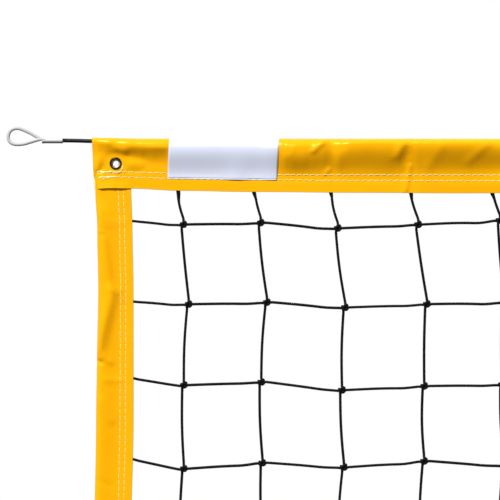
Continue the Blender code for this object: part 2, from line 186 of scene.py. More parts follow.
# Net cords
COLUMNS, ROWS = 85, 10
CORD_RADIUS = 1.75 * MM
NEAR_COLUMNS, NEAR_ROWS = 5, 4  # the part of the mesh in sight
NEAR_SPAN, FAR_SPAN = 5, 3  # stretches of a cord between two knots, in sight and out of it
NEAR_SIDES, FAR_SIDES = 8, 5  # faces round a cord, the same
# Each knot in sight: how far it lies right of and above its even place (mm)
KNOTS = {
    (1, 1): (3.9, -0.6), (2, 1): (0.6, 1.5), (3, 1): (-2.8, -5.3), (4, 1): (-2.1, -0.6),
    (1, 2): (10.4, -0.5), (2, 2): (8.4, 1.8), (3, 2): (6.4, -4.5), (4, 2): (8.8, -0.4),
    (1, 3): (4.4, -1.9), (2, 3): (1.5, 1.9), (3, 3): (2.5, -8.1), (4, 3): (5.6, -3.1),
}
TOP_SHIFTS = (-3.8, -7.1, -10.8, -12.5)  # of the first cords at the head tape's lip (mm)
SIDE_SHIFTS = (3.3, 2.3, 6.6)  # rise of the first cords at the side tape's lip (mm)
STRAND_ROUTE = ((10, 2.4), (-4, 2.1), (-10, 1.0), (-16, 0.2))  # over the lip, beside the cord (mm)
SPAN_PEAK = 14.9  # brings the sag's lowest point, near a span's end, to its full depth
# One knot's two cords as (right, back, up) in mm: the upright one comes from above, goes round and
# leaves below, the level one comes from the left, goes round and leaves to the right
UPRIGHT_LOOP = [
    (0.2, 0.0, 7.0), (0.3, -1.2, 4.0), (2.3, -2.2, 1.6), (2.8, -0.8, -1.4), (0.9, 1.4, -2.8),
    (-1.9, 1.9, -1.2), (-2.8, 0.2, 1.0), (-2.2, -1.9, -0.8), (-1.7, -1.0, -4.0), (-1.9, 0.0, -7.0),
]
LEVEL_LOOP = [
    (-7.0, 0.0, -0.9), (-4.0, -0.9, -0.9), (-1.4, -2.4, 0.8), (0.9, -1.5, 2.9), (2.8, 0.6, 2.1),
    (2.1, 2.2, -0.4), (-0.4, 1.6, -2.4), (1.0, -1.6, -2.4), (3.8, -1.0, -0.4), (7.0, 0.0, -0.1),
]

# Head cable, eyes and sleeves
CABLE_RADIUS = 2.5 * MM
CORE_RADIUS = 0.9 * MM
EYE_RADIUS = 2.2 * MM
EYE_SQUEEZE = 0.5 * MM  # how much thinner the coated wire is where the sleeve grips it
# The left eye's centreline as (right, back, up) in mm: it leaves the sleeve in front, goes down and
# round the end, and comes back above and behind itself; the loop stands a little above the cable
EYE_ROUTE = [
    (44.0, -1.3, 0.9), (38.6, -1.7, 1.3), (31.5, -2.0, -0.1), (22.6, -1.4, -2.8), (16.8, -0.6, -4.2),
    (9.3, 0.0, -4.9), (3.0, 0.0, -4.1), (-1.5, 0.0, -0.8), (-3.0, 0.0, 4.6), (-1.5, 0.0, 10.2),
    (1.8, 0.0, 13.6), (6.3, 0.0, 15.2), (11.3, 0.3, 14.9), (16.8, 1.0, 12.9), (25.2, 1.8, 9.0),
    (31.0, 2.0, 5.7), (35.0, 2.0, 3.4), (38.6, 1.8, 1.9), (44.0, 1.3, 0.9),
]
# The clear sleeve from its outer to its inner end: share of its length, share of its CAD radii
SLEEVE_OUTLINE = [
    (0.0, 0.92), (0.015, 0.98), (0.06, 1.0), (0.2, 0.965), (0.5, 0.975),
    (0.8, 0.96), (0.94, 0.985), (0.985, 0.97), (1.0, 0.9),
]
SLEEVE_BORE = 0.88  # inner over outer radius
SLEEVE_SIDES = 32

# Foot cord and its stop knots
FOOT_CORD_RADIUS = 2.4 * MM
STOP_WRAP_RADIUS = 4.3 * MM
STOP_TURNS = 2.4
STOP_NEAR, STOP_FAR = 14 * MM, 25 * MM  # from the foot tape's end to the knot's two ends
# Where the cord turns back at the knot's far end, and its tail at the near end: (right, back, up) (mm)
STOP_TURN = [(-2.6, 0, -0.3), (-3.2, -1.0, -2.8)]
STOP_TAIL = [(-1, -4.2, 5.0), (-6, -3.0, 7.6), (-12, -3.0, 8.2)]

# Grommets
TURN_STEPS = 64  # faces round a turned piece
BORE_RADIUS, BARREL_RADIUS = 3.75 * MM, 4.5 * MM
DOME_RISE = 0.25 * MM  # how far the flange's crown stands in front of the CAD's
ROLL_HEIGHT = 0.9 * MM  # of the crown's inner edge and of the rolled rear rim

# Light
KEY_STRENGTH, KEY_ELEVATION, KEY_AZIMUTH = 4.8, 46, -26  # azimuth 0 is the front, 90 the right
BACK_STRENGTH, BACK_ELEVATION, BACK_AZIMUTH = 2.4, 20, 155
AMBIENT = 0.2
SUN_ANGLE = math.radians(14)
FLOOR_DROP = 0.045  # from the net's lowest point
rng = np.random.default_rng(11)


def box(node):
    low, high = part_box(node)
    return np.array(low), np.array(high)


head_low, head_high = box("head_tape")
foot_low, foot_high = box("foot_tape")
side_low, side_high = box("left_side_tape")
mesh_low, mesh_high = box("net_mesh")
TAPE_LEFT, TAPE_RIGHT = head_low[0], head_high[0]
TAPE_LENGTH = TAPE_RIGHT - TAPE_LEFT
HEAD_TOP, HEAD_LIP = head_high[2], head_low[2]
FOOT_BOTTOM, FOOT_LIP = foot_low[2], foot_high[2]
HEAD_HEIGHT, FOOT_HEIGHT = HEAD_TOP - HEAD_LIP, FOOT_LIP - FOOT_BOTTOM
SIDE_WIDTH = side_high[0] - side_low[0]
SIDE_LENGTH = side_high[2] - side_low[2]
SIDE_HALF = side_high[1]
BAND_HALF = SIDE_HALF + GAP + TAPE_WALL
CORD_HALF = mesh_high[1]
MESH_LEFT, MESH_RIGHT = mesh_low[0] + CORD_HALF, mesh_high[0] - CORD_HALF
MESH_TOP, MESH_BOTTOM = mesh_high[2] - CORD_HALF, mesh_low[2] + CORD_HALF
cable_left = box("head_cable")[0][0]
sleeve_low, sleeve_high = box("left_sleeve")
PITCH_X, PITCH_Z = (MESH_RIGHT - MESH_LEFT) / COLUMNS, (MESH_TOP - MESH_BOTTOM) / ROWS


# ---------------------------------------------------------------- shapes


def smoothstep(x):
    x = np.clip(x, 0, 1)
    return x * x * (3 - 2 * x)


def ease(x, places, values):
    """Values at places, joined by smooth steps."""
    places, values = np.asarray(places, float), np.asarray(values, float)
    i = np.clip(np.searchsorted(places, x) - 1, 0, len(places) - 2)
    share = smoothstep((x - places[i]) / (places[i + 1] - places[i]))
    return values[i] + (values[i + 1] - values[i]) * share


def spline(points, steps):
    """A smooth curve through points, with steps stretches between two of them."""
    points = np.asarray(points, float)
    ends = np.vstack([2 * points[0] - points[1], points, 2 * points[-1] - points[-2]])
    t = (np.arange(steps) / steps)[:, None]
    rows = []
    for a, b, c, d in zip(ends, ends[1:], ends[2:], ends[3:]):
        bend = (2 * a - 5 * b + 4 * c - d) * t**2 + (3 * b - a - 3 * c + d) * t**3
        rows.append((2 * b + (c - a) * t + bend) / 2)
    return np.vstack(rows + [points[-1:]])


def link(name, data):
    made = bpy.data.objects.new(name, data)
    bpy.context.scene.collection.objects.link(made)
    return made


def add_piece(name, verts, faces, *finishes):
    mesh = bpy.data.meshes.new(name)
    mesh.from_pydata(verts.reshape(-1, 3).tolist(), [], faces)
    mesh.validate()
    for finish in finishes:
        mesh.materials.append(finish)
    mesh.shade_smooth()
    return link(name, mesh)


def ring_points(points, radii, sides):
    """Rings of a tube round points, each turned as little as possible from the last."""
    points = np.asarray(points, float)
    along = np.gradient(points, axis=0)
    along /= np.linalg.norm(along, axis=1)[:, None]
    first = np.cross(along[0], (0.31, 0.87, 0.38))
    across = []
    for direction in along:
        first = first - direction * first.dot(direction)
        first /= np.linalg.norm(first)
        across.append(first)
    across = np.array(across)
    other = np.cross(along, across)
    angle = 2 * np.pi * np.arange(sides) / sides
    radii = np.broadcast_to(radii, len(points))[:, None, None]
    ring = across[:, None] * np.cos(angle)[:, None] + other[:, None] * np.sin(angle)[:, None]
    return points[:, None] + radii * ring


def add_tubes(name, tubes, finish):
    """One piece of closed tubes, each (points, radii, sides)."""
    verts, faces, base = [], [], 0
    for points, radii, sides in tubes:
        rings = ring_points(points, radii, sides)
        count = len(rings)
        verts.append(rings.reshape(-1, 3))
        i = np.arange(count - 1)[:, None] * sides + base
        j = np.arange(sides)[None, :]
        k = (j + 1) % sides
        quads = np.stack([i + j, i + k, i + sides + k, i + sides + j], axis=-1)
        faces.extend(quads.reshape(-1, 4).tolist())
        faces.append(list(range(base + sides - 1, base - 1, -1)))
        faces.append(list(range(base + (count - 1) * sides, base + count * sides)))
        base += count * sides
    return add_piece(name, np.vstack(verts), faces, finish)


def add_grid(name, grid, *finishes, keep=None):
    """One piece of the grid's squares, without those that keep leaves out."""
    index = np.arange(grid.shape[0] * grid.shape[1]).reshape(grid.shape[:2])
    corners = [index[:-1, :-1], index[1:, :-1], index[1:, 1:], index[:-1, 1:]]
    quads = np.stack(corners, axis=-1)
    if keep is not None:
        quads = quads[keep]
    return add_piece(name, grid, quads.reshape(-1, 4).tolist(), *finishes)


def add_turned(name, profile, finish):
    """A closed (radius, towards the front) outline turned about the Y axis."""
    radius, front = np.array(profile).T
    count = len(radius)
    angle = 2 * np.pi * np.arange(TURN_STEPS)[:, None] / TURN_STEPS
    verts = [radius * np.cos(angle), 0 * angle - front, radius * np.sin(angle)]
    faces = []
    for i in range(TURN_STEPS):
        a, b = i * count, (i + 1) % TURN_STEPS * count
        for j in range(count):
            k = (j + 1) % count
            faces.append([a + j, b + j, b + k, a + k])
    return add_piece(name, np.stack(verts, axis=-1), faces, finish)


def thicken(piece, wall, inward=True):
    solid = piece.modifiers.new("wall", "SOLIDIFY")
    solid.thickness = wall
    solid.offset = -1 if inward else 1
    solid.use_even_offset = False
    return solid


# ---------------------------------------------------------------- materials


class Nodes:
    """Short ways to build the node tree of a material or of the world."""

    def __init__(self, owner):
        owner.use_nodes = True
        self.nodes, self.links = owner.node_tree.nodes, owner.node_tree.links

    def feed(self, socket, value):
        """Link a socket to another one, or set it to a constant."""
        if isinstance(value, bpy.types.NodeSocket):
            self.links.new(value, socket)
        else:
            socket.default_value = value

    def fill(self, node, **inputs):
        """Feed a node's inputs, which are named with _ for a space."""
        for name, value in inputs.items():
            self.feed(node.inputs[name.replace("_", " ")], value)
        return node

    def add(self, kind, **inputs):
        return self.fill(self.nodes.new("ShaderNode" + kind), **inputs)

    def join(self, kind, operation, *values):
        """A math node of either kind, its inputs fed in their order."""
        made = self.add(kind)
        made.operation = operation
        for socket, value in zip(made.inputs, values):
            self.feed(socket, value)
        return made.outputs

    def math(self, operation, a, b):
        return self.join("Math", operation, a, b)["Value"]

    def vector(self, operation, *values):
        return self.join("VectorMath", operation, *values)

    def spread(self, factor, low, high):
        return self.add("MapRange", Value=factor, To_Min=low, To_Max=high).outputs["Result"]


class Surface(Nodes):
    """A material, patterned in the piece's own coordinates."""

    def __init__(self, name):
        self.made = bpy.data.materials.new(name)
        super().__init__(self.made)
        self.where = self.add("TexCoord").outputs["Object"]

    def noise(self, scale, detail=3.0):
        return self.add("TexNoise", Vector=self.where, Scale=scale, Detail=detail).outputs["Fac"]

    def stripes(self, scale, turn, distortion):
        """Sine bands, slanted by a turn about the Y axis."""
        turned = self.add("Mapping", Vector=self.where, Rotation=(0, turn, 0)).outputs["Vector"]
        made = self.add("TexWave", Vector=turned, Scale=scale, Distortion=distortion)
        made.wave_profile = "SIN"
        return made.outputs["Fac"]

    def ramp(self, factor, stops):
        made = self.add("ValToRGB", Fac=factor)
        elements = made.color_ramp.elements
        for i, (place, colour) in enumerate(stops):
            stop = elements[i] if i < 2 else elements.new(place)
            stop.position = place
            stop.color = (*colour, 1)
        return made.outputs["Color"]

    def bump(self, height, distance, strength):
        made = self.add("Bump", Height=height, Distance=distance, Strength=strength)
        self.fill(self.nodes["Principled BSDF"], Normal=made.outputs["Normal"])

    def shader(self, colour, rough, **constants):
        self.fill(self.nodes["Principled BSDF"], Base_Color=colour, Roughness=rough, **constants)

    def finish(self, colour, scale, low, high, **constants):
        """The shader, with a roughness from low to high in a noise of this scale."""
        self.shader(colour, self.spread(self.noise(scale), low, high), **constants)


def vinyl_material(name, light, dark):
    """PVC-coated cloth: satin, faintly mottled, with the weave just showing through."""
    tree = Surface(name)
    colour = tree.ramp(tree.noise(14), [(0.3, dark), (0.7, light)])
    tree.finish(colour, 60, 0.24, 0.32, Specular_IOR_Level=0.2, Specular_Tint=(1, 0.88, 0.3, 1))
    warp = tree.stripes(210, 0, 0.4)
    weft = tree.stripes(210, math.pi / 2, 0.4)
    weave = tree.math("MULTIPLY", tree.math("ADD", warp, weft), 0.25)
    grain = tree.noise(420, 2)
    tree.bump(tree.math("ADD", weave, grain), 0.00006, 0.6)
    return tree.made


def cord_material():
    """Twisted polyethylene: the lay shows as slanted ridges on level and upright cords alike."""
    tree = Surface("black_cord")
    lay = tree.stripes(95, math.pi / 4, 1.2)
    colour = tree.ramp(lay, [(0.0, (0.003, 0.003, 0.004)), (1.0, (0.006, 0.006, 0.009))])
    tree.finish(colour, 300, 0.6, 0.8, Specular_IOR_Level=0.08)
    fibres = tree.noise(1500, 2)
    height = tree.math("ADD", lay, tree.math("MULTIPLY", fibres, 0.4))
    tree.bump(height, 0.00014, 0.5)
    return tree.made


def thread_material():
    tree = Surface("sewing_thread")
    twist = tree.stripes(520, math.pi / 4, 0.8)
    colour = tree.ramp(twist, [(0.0, (0.90, 0.80, 0.33)), (0.6, (0.97, 0.93, 0.54))])
    tree.finish(colour, 500, 0.5, 0.7, Specular_IOR_Level=0.2)
    tree.bump(twist, 0.00005, 0.5)
    return tree.made


def sheath_material():
    """Extruded black plastic over the cable, with the strands' lay just felt under it."""
    tree = Surface("cable_sheath")
    scuffs = tree.noise(120, 5)
    colour = tree.ramp(scuffs, [(0.4, (0.003, 0.003, 0.004)), (0.8, (0.006, 0.006, 0.007))])
    rough = tree.spread(scuffs, 0.4, 0.46)
    tree.shader(colour, rough, Specular_IOR_Level=0.2)
    lay = tree.stripes(60, math.pi / 5, 0.6)
    tree.bump(lay, 0.00001, 0.4)
    return tree.made


def coat_material(name, light, dark, scale):
    """Clear coat over stranded wire: pale, glossy, with the strands showing faintly."""
    tree = Surface(name)
    lay = tree.stripes(scale, math.pi / 3, 1.0)
    colour = tree.ramp(lay, [(0.15, dark), (0.75, light)])
    tree.finish(colour, 90, 0.3, 0.42, Specular_IOR_Level=0.06)
    tree.bump(lay, 0.00005, 0.3)
    return tree.made


def sleeve_painted_shade_material():
    """Clear shrink tube, whitish over the wires, with painted shade turning it grey towards its
    underside.
    """
    tree = Surface("shrink_sleeve")
    parts = tree.add("SeparateXYZ", Vector=tree.where)
    height = sleeve_high[2] - sleeve_low[2]
    share = tree.math("DIVIDE", parts.outputs["Z"], float(height))
    ripple = tree.math("MULTIPLY", tree.noise(220), 0.06)
    share = tree.math("ADD", tree.math("ADD", share, 0.47), ripple)
    # Painted shade: darker grey lower down the sleeve, whitish at its top
    stops = [(0.2, (0.26, 0.26, 0.27)), (0.38, (0.46, 0.46, 0.47)), (0.52, (0.74, 0.74, 0.74))]
    tree.finish(tree.ramp(share, stops), 90, 0.3, 0.42, Specular_IOR_Level=0.1)
    tree.bump(tree.noise(150), 0.00005, 0.3)
    return tree.made


def metal_material(name, light, dark, rough_low, rough_high):
    tree = Surface(name)
    stains = tree.noise(260, 4)
    colour = tree.ramp(stains, [(0.35, dark), (0.7, light)])
    tree.finish(colour, 600, rough_low, rough_high, Metallic=1.0)
    tree.bump(tree.noise(900, 2), 0.00003, 0.5)
    return tree.made


def nickel_painted_light_material():
    """Nickel plate with painted light: painted shade near black in the bore and dark brown towards the
    rim, a painted highlight ring on the crown, and the lower right painted brighter than the upper
    left.
    """
    tree = Surface("nickel")
    out = tree.vector("LENGTH", tree.vector("MULTIPLY", tree.where, (1, 0, 1))["Vector"])["Value"]
    share = tree.math("DIVIDE", out, 8 * MM)
    painted_ring_share = tree.math("ADD", share, tree.math("MULTIPLY", tree.noise(500), 0.12))
    # Painted shade and highlight by distance from the axis: near black in the bore, bright on the
    # crown, dark brown towards the rim
    stops = [(0.57, (0.02, 0.017, 0.014)), (0.64, (0.80, 0.76, 0.68))]
    stops += [(0.71, (0.40, 0.35, 0.28)), (0.79, (0.07, 0.055, 0.04))]
    # Painted light and shade: lighter towards the lower right, darker towards the upper left
    toward_painted_light = tree.vector("DOT_PRODUCT", tree.where, (60, 0, -110))["Value"]
    painted_lit_side = tree.ramp(toward_painted_light, [(0.0, (0.16, 0.15, 0.14)), (0.45, (1, 1, 1))])
    colour = tree.vector("MULTIPLY", tree.ramp(painted_ring_share, stops), painted_lit_side)["Vector"]
    tree.finish(colour, 700, 0.2, 0.36, Metallic=1.0)
    tree.bump(tree.noise(1200, 2), 0.00002, 0.5)
    return tree.made


def label_material():
    """Satin white sheet, faintly cool and rubbed."""
    tree = Surface("white_label")
    colour = tree.ramp(tree.noise(18), [(0.3, (0.655, 0.69, 0.83)), (0.7, (0.68, 0.72, 0.86))])
    tree.finish(colour, 70, 0.38, 0.5, Specular_IOR_Level=0.3)
    tree.bump(tree.noise(500, 2), 0.00004, 0.5)
    return tree.made


# ---------------------------------------------------------------- tapes


def wrinkled(u, d, wrinkles):
    """Sum of the ridges and valleys at (u, d); their sizes are in millimetres."""
    total = np.zeros(np.broadcast(u, d).shape)
    for u0, d0, u1, d1, width, height in np.array(wrinkles) * MM:
        du, dd = u1 - u0, d1 - d0
        near = (u > min(u0, u1) - 4 * width) & (u < max(u0, u1) + 4 * width)
        if not near.any():
            continue
        share = np.clip(((u - u0) * du + (d - d0) * dd) / (du * du + dd * dd), 0, 1)
        far2 = (u - u0 - share * du) ** 2 + (d - d0 - share * dd) ** 2
        total = total + height * np.exp(-far2 / width**2)
    return total


def random_wrinkles(start, end, step, folds):
    """Slanted wrinkles about a step apart from start to end (mm), of the given folds."""
    made = []
    height, depth, spare = folds
    for u in np.arange(start, end, step):
        u += rng.uniform(-0.3, 0.3) * step
        d = rng.uniform(0.1, 0.45) * height
        long, slant = rng.uniform(0.15, 0.4) * height, rng.uniform(-0.5, 0.5) * height
        width = rng.uniform(0.06, 0.10) * height
        made.append((u, d, u + slant, d + long, width, rng.uniform(-0.6, 1.0) * depth))
        if rng.random() < spare:
            made.append((u, 0.75 * height, u + 3, 0.95 * height, 1.2 * width, 0.4 * depth))
    return made


class Tape:
    """A strip folded along its length. u runs along the fold and d from the fold to the lips."""

    def __init__(self, origin, along, inward, height):
        self.origin, self.along, self.inward = (np.array(v, float) for v in (origin, along, inward))
        self.height = height
        self.plan = None  # columns of places, half thickness, drop, steepest place, meeting place
        self.room = 0.0  # least half thickness of the back's bulge
        self.lip = None  # gives the half thickness at the lips at u
        self.shift = None  # gives how far (u, d) of a face moves along and down
        self.wrinkles = {FRONT: [], BACK: []}
        self.rows = ()
        self.grommets = ()

    def row(self, k, u):
        return self.rows[k] + 0 * u

    def half(self, u, d, face):
        """Half thickness over the vinyl at (u, d) on one face."""
        lip = self.lip(u)
        bulge, drop, steep, flat = (ease(u, self.plan[0], column) for column in self.plan[1:])
        if face == BACK:
            bulge = np.maximum(lip + BACK_SHARE * (bulge - lip), self.room)
        fold = bulge * np.sqrt(np.clip(1 - (1 - np.minimum(d, drop) / drop) ** 2, 0, 1))
        skew = math.log(0.5) / np.log((steep - drop) / (flat - drop))
        fall = np.clip((d - drop) / (flat - drop), 0, 1) ** skew
        tail = lip + (bulge - lip) * (1 + np.cos(np.pi * fall)) / 2
        shape = np.where(d < drop, fold, tail)
        extra = wrinkled(u, d, self.wrinkles[face]) * smoothstep(d / FOLD_PLAIN)
        for k in range(len(self.rows)):
            extra = extra - GROOVE_DEPTH * np.exp(-(((d - self.row(k, u)) / GROOVE_WIDTH) ** 2))
        for centre_u, centre_d in self.grommets:
            away = np.hypot(u - centre_u, d - centre_d)
            free = smoothstep((away - PINCH_SEAT) / PINCH_REACH)
            shape = BAND_HALF + (shape - BAND_HALF) * np.where(d > PINCH_TOP, free, 1)
            extra = extra * free
        return shape + extra

    def point(self, u, d, face, lift=0.0):
        """Where (u, d) of a face lies, lift outside the vinyl."""
        u, d = np.broadcast_arrays(np.asarray(u, float), np.asarray(d, float))
        move_u, move_d = self.shift(u, d, face)
        place = self.origin + self.along * (u + move_u)[..., None]
        place = place + self.inward * (d + move_d)[..., None]
        place[..., 1] += face * (self.half(u, d, face) + lift)
        return place

    def build(self, name, stations, fine, coarse, finishes):
        """The folded sheet, with fine and coarse counts of steps down its front and back, and
        open where a grommet's barrel passes through."""
        u = stations[:, None]
        front = drops_to(self.height, fine, self.rows)[None, ::-1]
        back = drops_to(self.height, coarse, ())[None, 1:]
        grid = [self.point(u, front, FRONT), self.point(u, back, BACK)]
        d = np.concatenate([front, back], axis=1)
        mid_u, mid_d = (u[1:] + u[:-1]) / 2, (d[:, 1:] + d[:, :-1]) / 2
        keep = np.ones(np.broadcast(mid_u, mid_d).shape, bool)
        for centre_u, centre_d in self.grommets:
            keep &= np.hypot(mid_u - centre_u, mid_d - centre_d) > HOLE_IN_TAPE
        piece = add_grid(name, np.concatenate(grid, axis=1), *finishes, keep=keep)
        thicken(piece, TAPE_WALL).material_offset = 1
        return piece


def drops_to(height, steps, rows):
    """Distances from the fold, closer together round it and beside the stitch rows."""
    places = set((height * (np.arange(steps + 1) / steps) ** 1.4).round(6))
    places |= {round(height - LIP_EDGE, 6)}
    for row in rows:
        places -= {p for p in places if 0 < abs(p - row) < ROW_FACES and p < height}
        places |= {round(row + side * ROW_FACES, 6) for side in (-1, 0, 1)}
    return np.array(sorted(places))


def stations_along(length, fine_to, fine, coarse, end_fine):
    """Places along a tape: fine up to fine_to, then coarse, and fine again in the last stretch."""
    first = np.linspace(0, fine_to, round(fine_to / fine) + 1)
    last = np.linspace(length - end_fine, length, round(end_fine / (2 * fine)) + 1)
    steps = round((length - end_fine - fine_to) / coarse)
    middle = np.linspace(fine_to, length - end_fine, steps + 1)
    return np.concatenate([first, middle[1:-1], last])


def eyelet_centre(corner):
    low, high = box(corner + "_eyelet")
    return (low[0] + high[0]) / 2, (low[2] + high[2]) / 2


def inside_share(u):
    """0 where the side tapes are inside a long tape's ends, and 1 between them."""
    ends = SIDE_WIDTH + 2 * MM
    return smoothstep((u - ends) / LIP_EASE) * smoothstep((TAPE_LENGTH - u - ends) / LIP_EASE)


def head_tape_shape():
    tape = Tape((TAPE_LEFT, 0, HEAD_TOP), (1, 0, 0), (0, 0, -1), HEAD_HEIGHT)
    plan = list(HEM_PLAN)
    u = NEAR_LENGTH / MM + 40
    while u < TAPE_LENGTH / MM - 120:
        plan.append((u, *(rng.uniform(*reach) for reach in FAR_HEM)))
        u += rng.uniform(45, 85)
    end = TAPE_LENGTH / MM
    plan += [(end - 60, 10, 9.5, 19, 30), (end - 30, 8, 8, 15, 25), (end - 10, 6.6, 7, 14, 23)]
    plan += [(end, 5.4, 6, 12, 21)]
    tape.plan = np.array(plan).T * MM

    def lip(u):
        close = END_CLOSE * (1 - smoothstep(u / END_CLOSE_REACH))
        return BAND_HALF - close + (LIP_HALF - BAND_HALF) * inside_share(u)

    sag = list(LIP_SAG)
    sag += [(place, rng.uniform(0.5, 3.5)) for place in np.arange(700, end - 100, 170)]
    sag += [(end - 48, -1.5), (end, -1.5)]
    sag = np.array(sag) * MM

    def shift(u, d, face):
        nip = END_LEAN * smoothstep(d / END_LEAN_DROP)
        nip = nip + (face == FRONT) * CORNER_NIP * np.clip((d / MM - CORNER_TOP) / CORNER_GROW, 0, 1)
        nip = nip * smoothstep(1 - u / CORNER_REACH)
        droop = HEM_DROOP * smoothstep(u / DROOP_EASE) * smoothstep((TAPE_LENGTH - u) / DROOP_EASE)
        down = ease(u, sag[:, 0], sag[:, 1]) * smoothstep((d - SAG_TOP) / SAG_GROW)
        return nip, down + droop * (1 - smoothstep(d / DROOP_DROP))

    tape.lip, tape.shift = lip, shift
    tape.room = CABLE_RADIUS + TAPE_WALL + CABLE_CLEAR
    tape.rows = HEAD_ROWS
    tape.row = lambda k, u: HEAD_ROWS[k] + HEAD_ROW_DRIFTS[k] * smoothstep((u - 20 * MM) / (150 * MM))
    near = NEAR_LENGTH / MM
    tape.wrinkles[FRONT] = HEAD_WRINKLES + random_wrinkles(near, end - 60, 48, HEAD_FOLDS)
    tape.wrinkles[BACK] = random_wrinkles(60, end - 60, 55, HEAD_BACK_FOLDS)
    centres = [eyelet_centre("top_" + side) for side in ("left", "right")]
    tape.grommets = [(x - TAPE_LEFT, HEAD_TOP - z) for x, z in centres]
    return tape


def foot_tape_shape():
    tape = Tape((TAPE_RIGHT, 0, FOOT_BOTTOM), (-1, 0, 0), (0, 0, 1), FOOT_HEIGHT)
    end = TAPE_LENGTH / MM
    plan = [(0, 4.5, 4.5, 7, 10), (70, 4.8, 4.5, 8, 12)]
    for u in np.arange(150, end - 100, 80):
        flat = rng.uniform(18, 27)
        plan.append((u, rng.uniform(4.8, 6.2), rng.uniform(4.5, 6), 0.55 * flat, flat))
    plan += [(end - 70, 4.8, 4.5, 8, 12), (end, 4.5, 4.5, 7, 10)]
    tape.plan = np.array(plan).T * MM
    sway = np.array([(u, rng.uniform(-1.5, 1.5)) for u in np.arange(-50, end + 200, 190)]) * MM

    def shift(u, d, face):
        return 0 * u, ease(u, sway[:, 0], sway[:, 1]) * smoothstep((d - 30 * MM) / (14 * MM))

    tape.lip = lambda u: BAND_HALF + (LIP_HALF - BAND_HALF) * inside_share(u)
    tape.shift = shift
    tape.rows = FOOT_ROWS
    for face in (FRONT, BACK):
        tape.wrinkles[face] = random_wrinkles(50, end - 50, 60, FOOT_FOLDS)
    centres = [eyelet_centre("bottom_" + side) for side in ("left", "right")]
    tape.grommets = [(TAPE_RIGHT - x, z - FOOT_BOTTOM) for x, z in centres]
    return tape


def side_drift(down, column):
    """How far in a side tape's fold (column 1) or lip (2) stands from its CAD place."""
    table = np.array(SIDE_DRIFT) * MM
    return ease(down, table[:, 0], table[:, column])


def side_tape_shape(side):
    left = side == "left"
    x, z, way = (TAPE_LEFT, side_low[2], 1) if left else (TAPE_RIGHT, side_high[2], -1)
    tape = Tape((x, 0, z), (0, 0, way), (way, 0, 0), SIDE_WIDTH)
    tape.lip = lambda u: np.full_like(u, SIDE_HALF)
    tape.rows = SIDE_ROWS

    def shift(u, d, face):
        down = HEAD_TOP - (z + way * u)
        fold, lip = side_drift(down, 1), side_drift(down, 2)
        return 0 * u, fold + (lip - fold) * d / SIDE_WIDTH

    tape.shift = shift
    top = (HEAD_TOP - side_low[2]) / MM
    crown = (SIDE_CROWN, SIDE_STEEP, SIDE_FLAT)
    plan = [(top - down, SIDE_HALF / MM + more, *crown) for down, more in SIDE_BULGE[::-1]]
    tape.plan = np.array(plan).T * MM
    if left:
        for a, d0, b, d1, width, height in SIDE_WRINKLES:
            tape.wrinkles[FRONT].append((top - a, d0, top - b, d1, width, height))
        tape.wrinkles[FRONT] += random_wrinkles(30, top - 370, 45, SIDE_FOLDS)
    else:
        tape.wrinkles[FRONT] = random_wrinkles(30, SIDE_LENGTH / MM - 30, 50, SIDE_FOLDS)
    tape.wrinkles[BACK] = random_wrinkles(30, SIDE_LENGTH / MM - 30, 50, SIDE_FOLDS)
    return tape


# ---------------------------------------------------------------- stitching


def row_of_stitches(tape, k, face, start, end, near_to, radius):
    """Stitches along one row: slanted, a little uneven, and round where the camera is near."""
    made = []
    for u in np.arange(start, end, STITCH_PITCH):
        middle = u + STITCH_PITCH / 2 + rng.normal(0, 0.2 * MM)
        half = STITCH_LENGTH / 2 * rng.uniform(0.88, 1.04)
        slant = rng.normal(-0.28, 0.12) * MM
        near = face == FRONT and u < near_to
        share = np.linspace(-1, 1, 7 if near else 3)
        along = middle + half * share
        across = tape.row(k, along) + slant * share + rng.normal(0, 0.1 * MM)
        rise = (1 - share**2) ** 0.5 * 0.6 * MM - 0.25 * MM
        points = tape.point(along, across, face, rise)
        made.append((points, radius, 8 if near else 4))
    return made


def loose_thread(tape, route):
    u, d, lift = (spline(route, 6) * MM).T
    return tape.point(u, d, FRONT, lift), THREAD_RADIUS, 8


def backtack(tape, k, start, end, count):
    """The seam's end, sewn over again: short stitches lying across each other."""
    made = []
    for _ in range(count):
        u = rng.uniform(start, end)
        half = rng.uniform(1.6, 3.6) * MM
        share = np.linspace(-1, 1, 5)
        along = u + half * share
        across = tape.row(k, along) + rng.normal(0, 0.6 * MM) + rng.normal(0, 0.6) * MM * share
        rise = (1 - share**2) ** 0.5 * 0.8 * MM - 0.3 * MM
        made.append((tape.point(along, across, FRONT, rise), THREAD_RADIUS, 8))
    return made


def stitches(name, tape, reach, near_to, finish, radius=THREAD_RADIUS, tacks=0, loose=()):
    """Both rows on both faces over a reach, with the seams' overlapping ends and loose threads."""
    tubes = []
    for k in (0, 1):
        for face in (FRONT, BACK):
            tubes += row_of_stitches(tape, k, face, *reach, near_to, radius)
        tubes += backtack(tape, k, *BACKTACK_REACH, tacks)
    tubes += [loose_thread(tape, route) for route in loose]
    return add_tubes(name, tubes, finish)


# ---------------------------------------------------------------- label


